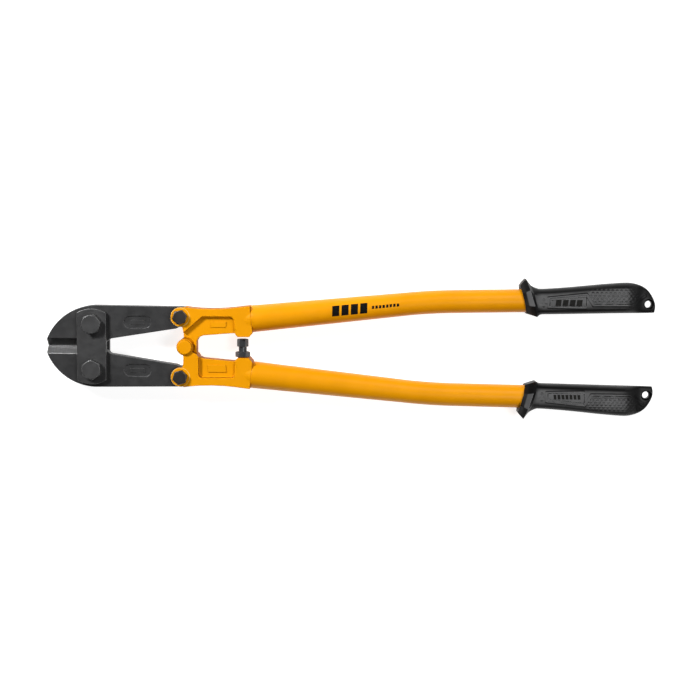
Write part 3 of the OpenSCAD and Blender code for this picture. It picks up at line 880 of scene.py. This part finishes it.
def grip_sections():
    """All sections of the upper grip in pivot-frame millimetres, front to end."""
    found = []
    y = tube_axis(GRIP_X + MOUTH_X)[0]
    for inset in BORE_RINGS:
        low = (inset + BORE_LEAN[0], y - BORE_R)
        high = (inset + BORE_LEAN[1], y + BORE_R)
        found.append(section(low, high, BORE_R, 0, power=2))
    for a, b in zip(GUARD, GUARD[1:]):
        for k in range(GUARD_STEPS):
            t = k / GUARD_STEPS
            low = [a[0][i] + (b[0][i] - a[0][i]) * t for i in (0, 1)]
            high = [a[1][i] + (b[1][i] - a[1][i]) * t for i in (0, 1)]
            half_t, octagon = (a[i] + (b[i] - a[i]) * t for i in (2, 3))
            found.append(section(low, high, half_t, octagon))
    top, bottom = smooth_curve(GRIP_TOP), smooth_curve(GRIP_BOTTOM)
    last = GRIP_TOP[-1][0]
    for k in range(HANDLE_STEPS + 1):
        t = k / HANDLE_STEPS
        # Closer together towards the end
        x = HANDLE_X + (last - HANDLE_X) * (1 - (1 - t) ** 1.25)
        x = min(x, last - 0.02)
        # The first sections lean back, as the guard does
        lean = max(0.0, 1 - (x - HANDLE_X) / LEAN_L)
        low = (x, float(np.interp(x, bottom[:, 0], bottom[:, 1])))
        high_x = x - LEAN * lean * lean
        high = (high_x, float(np.interp(high_x, top[:, 0], top[:, 1])))
        swell = grip_swell(x)
        tab = (x - (last - TAB_L - TAB_SLOPE_L)) / TAB_SLOPE_L
        tab = min(1.0, max(0.0, tab))
        half_t = swell + (TAB_HALF_T - swell) * (1 - math.cos(math.pi * tab)) / 2
        end = max(0.0, (x - (last - END_ROUND)) / END_ROUND)
        half_t = half_t * math.sqrt(max(0.1, 1 - end ** ROUNDNESS))
        found.append(section(low, high, half_t, 0.0))
    return found


def hole_cutter(half, side):
    """A turned solid that bores the hanging hole and dishes both faces round it."""
    profile = ((DRILL_HALF_L, RING_R + 0.3), (TAB_HALF_T + 0.1, RING_R + 0.3),
               (TAB_HALF_T - 0.3, RING_R), (WEB_HALF_T - 0.5, HOLE_R + 0.15),
               (WEB_HALF_T - 0.8, HOLE_R))
    profile += tuple((-z, r) for z, r in reversed(profile))
    angles = [2 * math.pi * k / DRILL_SIDES for k in range(DRILL_SIDES)]
    rings = [[place(HOLE_X + r * math.cos(a), side * HOLE_Y + r * math.sin(a), z)
              for a in angles] for z, r in profile]
    return loft(half + "_drill", rings)


def make_grip(half, side, vinyl):
    """One moulded grip with its guard, relief and hanging hole."""
    rings = []
    for ring in grip_sections():
        x, y, z = ring[:, 0], ring[:, 1], ring[:, 2]
        # Relief on the broad faces behind the guard, none on the sides
        top = np.abs(z).max()
        face = np.clip((np.abs(z) - 0.55 * top) / (0.2 * top), 0, 1)
        face = face * np.clip((x - RELIEF_X) / 2.0, 0, 1)
        z = z + np.sign(z) * relief(x, y) * face
        rings.append([place(GRIP_X + a, side * b, c) for a, b, c in zip(x, y, z)])
    grip = loft(half + "_grip_moulding", rings)
    grip.data.materials.append(vinyl)
    drill = hole_cutter(half, side)
    cut = grip.modifiers.new("hole", "BOOLEAN")
    cut.operation = "DIFFERENCE"
    cut.solver = "EXACT"
    cut.object = drill
    apply_modifiers(grip)
    bpy.data.objects.remove(drill)
    shade(grip, 38)
    return settle(grip, half + "_handle", "grip_plastic", half + "_grip")


# ---------------------------------------------------------------- the tool

SIDES = (("upper", 1), ("lower", -1))
# Colours low and high, roughness and pit depth of each dark steel
STEELS = {
    "jaw_forging": ((0.036, 0.036, 0.037), (0.050, 0.050, 0.051), 0.46, 0.00012),
    "plate_oxide": ((0.056, 0.056, 0.057), (0.070, 0.070, 0.071), 0.42, 0.00012),
    "bolt_oxide": ((0.064, 0.064, 0.065), (0.080, 0.080, 0.081), 0.40, 0.00008),
    "link_bolt_oxide": ((0.034, 0.029, 0.027), (0.048, 0.042, 0.039), 0.42, 0.00008),
    "screw_zinc": ((0.040, 0.044, 0.048), (0.075, 0.081, 0.088), 0.36, 0.00006),
}
# Printed bars on each grip: bar size, how many, the length they share, their
# centre, and how far they stand above the grip's swell
GRIP_BARS = {"upper": ((5.3, 6.0), 4, 27.4), "lower": ((2.6, 4.4), 7, 27.6)}
GRIP_BARS_AT = (GRIP_X + 47.5, 46.7)
GRIP_BARS_OUT = 0.35 - PANEL_DROP
# Plain raised pads: centre, size, and how far they stand above their floor
BADGE_PAD = ((-47.5, 24.0), (14.0, 4.6), 0.5)
YOKE_PADS = {"upper": ((33.0, 22.4), (15.0, 5.4), 0.9),
             "lower": ((31.5, 21.4), (18.0, 7.0), 1.0)}


def make_looks():
    """Every material of the tool by name."""
    looks = {name: dark_steel(name, *tones) for name, tones in STEELS.items()}
    looks["ground_steel"] = ground_steel()
    looks["yoke_paint"] = yellow_paint("yoke_paint", 0.44, 900, 0.00012, YOKE_WALL_SHADE,
                                       (UPPER_LINK, LOWER_LINK))
    looks["tube_paint"] = yellow_paint("tube_paint", 0.34, 1300, 0.00005)
    looks["black_vinyl"] = black_vinyl()
    looks["print_ink"] = print_ink()
    return looks


def make_half(half, side, looks):
    """The jaw, handle, grip, bolts and marks of the upper or the lower half."""
    jaw, handle = half + "_jaw", half + "_handle"
    bolt_steel, link_steel = looks["bolt_oxide"], looks["link_bolt_oxide"]
    make_jaw(half, looks["jaw_forging"], looks["ground_steel"])
    machined(half + "_plate_bolt", "side_plates", "plate_bolt_steel", bolt_steel, 0.35)
    machined(half + "_plate_nut", "side_plates", "plate_bolt_steel", bolt_steel, 0.3)
    machined(half + "_link_bolt", handle, "link_bolt_steel", link_steel, 0.3)
    machined(half + "_link_nut", handle, "link_bolt_steel", link_steel, 0.25)
    forged(half + "_yoke", handle, "yoke_paint", looks["yoke_paint"])
    make_tube(half, side, looks["tube_paint"])
    make_grip(half, side, looks["black_vinyl"])
    size, count, length = GRIP_BARS[half]
    raised_row(half + "_grip_mark", handle, "grip_plastic", looks["print_ink"], GRIP_BARS_AT,
               size, count, length / count,
               lambda x: grip_swell(x - GRIP_X) + GRIP_BARS_OUT, side, (1, -1))
    centre, size, out = BADGE_PAD
    raised_row(half + "_jaw_mark", jaw, "jaw_steel", looks["jaw_forging"], centre, size,
               1, 0, lambda x: BADGE_FLOOR + out, side)


def make_yoke_mark(half, side, paint):
    """The plain pad on a yoke's panel."""
    centre, size, out = YOKE_PADS[half]
    raised_row(half + "_yoke_mark", half + "_handle", "yoke_paint", paint, centre, size,
               1, 0, lambda x: YOKE_FLOOR + out, side)


def print_bars(name, bars, ink):
    """A row of printed bars along the upper tube."""
    count, x, pitch, length, across0, across1 = bars
    for n in range(count):
        tube_patch("%s_%d" % (name, n + 1), x + n * pitch, length, across0, across1, ink)


def build():
    """Every visible piece of the tool, each on its body."""
    looks = make_looks()
    yoke_paint = looks["yoke_paint"]
    for half, side in SIDES:
        make_half(half, side, looks)
    for half, side in SIDES:
        make_yoke_mark(half, side, yoke_paint)
    print_bars("tube_mark", BOLD_BARS, looks["print_ink"])
    print_bars("tube_note", SMALL_BARS, looks["print_ink"])
    for node in ("front_side_plate", "back_side_plate"):
        machined(node, "side_plates", "plate_steel", looks["plate_oxide"], 0.8)
    machined("centre_pivot_rivet", "lower_handle", "yoke_paint", yoke_paint, 0.5, segments=3)
    machined("centre_pivot_washer", "lower_handle", "yoke_paint", yoke_paint, 0.25)
    for node in ("lock_nut", "stop_screw"):
        machined(node, node, "stop_screw_steel", looks["screw_zinc"], 0.3)


make_camera()
make_lights()
make_floor()
build()
